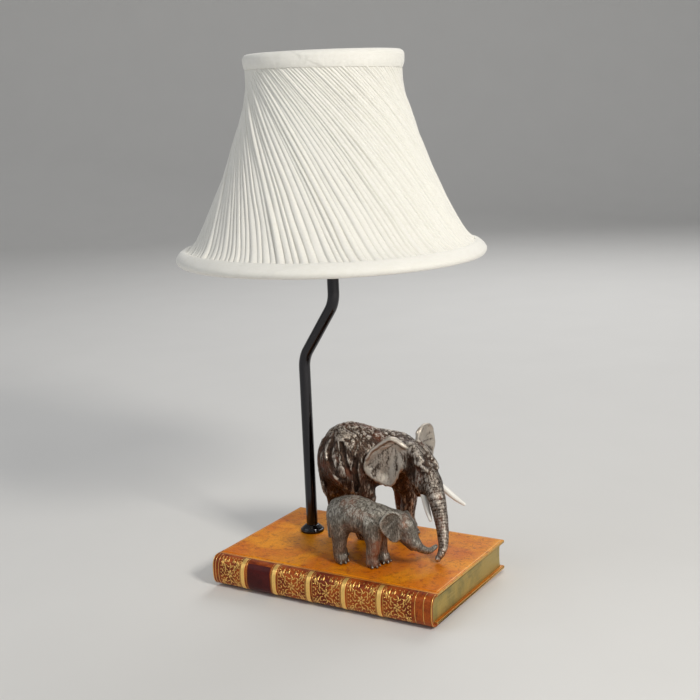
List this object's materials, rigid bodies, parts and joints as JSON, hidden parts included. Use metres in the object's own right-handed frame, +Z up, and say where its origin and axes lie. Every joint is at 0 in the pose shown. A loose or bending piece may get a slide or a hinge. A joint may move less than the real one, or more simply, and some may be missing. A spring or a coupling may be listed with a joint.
{
  "type": "table lamp",
  "caption": "Table lamp: flat leather-bound book base with cast cow elephant and calf, cranked metal stem, lampholder and pleated bell shade.",
  "frame": {"origin": "on the surface that the lamp stands on, under the middle of the shade", "axes": "+Z up, +X along the book's spine towards the elephants' heads, +Y from the spine to the page edges"},
  "size_m": [0.2532, 0.2546, 0.4443],
  "materials": {
    "felt": "dense wool felt, dark brown",
    "cover_leather": "glazed tan calfskin, marbled, with thin gilt fillets",
    "spine_leather": "glazed red-brown calfskin over raised bands, gilt tooled",
    "label_leather": "glazed oxblood calfskin, bare",
    "gilt_pages": "page edges under burnished gilding",
    "ballast_iron": "raw",
    "zinc_fixings": "zinc plated",
    "gland_plastic": "moulded black nylon",
    "black_nickel": "polished black nickel plate",
    "ivory_plastic": "moulded, glossy ivory",
    "contact_ceramic": "unglazed steatite",
    "contact_brass": "pressed strip",
    "bulb_cap_metal": "rolled thread",
    "opal_glass": "opal, satin",
    "shade_cloth": "fine ivory cloth in soft swirled knife pleats",
    "lining_cloth": "smooth ivory lining cloth",
    "binding_tape": "ivory bias tape, folded over and padded",
    "frame_wire": "off-white powder coat over steel wire",
    "cow_bronze": "dark brown patina over cast bronze, high points rubbed bright",
    "calf_bronze": "grey-brown patina over cast bronze, high points rubbed bright",
    "tusk_resin": "polished cream resin"
  },
  "bodies": {
    "base": {"felt_pad": "felt", "back_board": "cover_leather", "front_board": "cover_leather", "page_block": "gilt_pages", "spine_cover": "spine_leather", "title_label": "label_leather", "ballast_plate": "ballast_iron", "cow_front_screw": "zinc_fixings", "cow_rear_screw": "zinc_fixings", "calf_front_screw": "zinc_fixings", "calf_rear_screw": "zinc_fixings", "cable_gland": "gland_plastic", "stem_tube": "black_nickel", "stem_collar": "black_nickel", "stem_washer": "zinc_fixings", "stem_lock_nut": "zinc_fixings", "lampholder_cap": "black_nickel", "lampholder_skirt": "ivory_plastic", "contact_block": "contact_ceramic", "screw_shell_contact": "contact_brass", "centre_contact": "contact_brass", "lower_shade_ring": "ivory_plastic", "cow_elephant": "cow_bronze", "tusk_right": "tusk_resin", "tusk_left": "tusk_resin", "calf_elephant": "calf_bronze"},
    "shade": {"shade_cover": "shade_cloth", "shade_lining": "lining_cloth", "top_binding": "binding_tape", "hem_binding": "binding_tape", "top_ring": "frame_wire", "hem_ring": "frame_wire", "rib_1": "frame_wire", "rib_2": "frame_wire", "rib_3": "frame_wire", "rib_4": "frame_wire", "rib_5": "frame_wire", "rib_6": "frame_wire", "fitter_ring": "frame_wire"},
    "shade_ring": {"upper_shade_ring": "ivory_plastic"},
    "bulb": {"bulb_cap": "bulb_cap_metal", "bulb_glass": "opal_glass"},
    "switch": {"switch_bar": "ivory_plastic"}
  },
  "joints": [
    {"name": "shade_swivel", "type": "hinge", "parent": "base", "child": "shade", "pos_m": [0, 0, 0.347], "axis": [0, 0, 1], "continuous": true},
    {"name": "shade_ring_turn", "type": "hinge", "parent": "base", "child": "shade_ring", "pos_m": [0, 0, 0.3525], "axis": [0, 0, 1], "range_deg": [0, 720]},
    {"name": "bulb_turn", "type": "hinge", "parent": "base", "child": "bulb", "pos_m": [0, 0, 0.35], "axis": [0, 0, 1], "range_deg": [0, 1440]},
    {"name": "switch_slide", "type": "slide", "parent": "base", "child": "switch", "axis": [1, 0, 0], "range_m": [0, 0.006]}
  ]
}
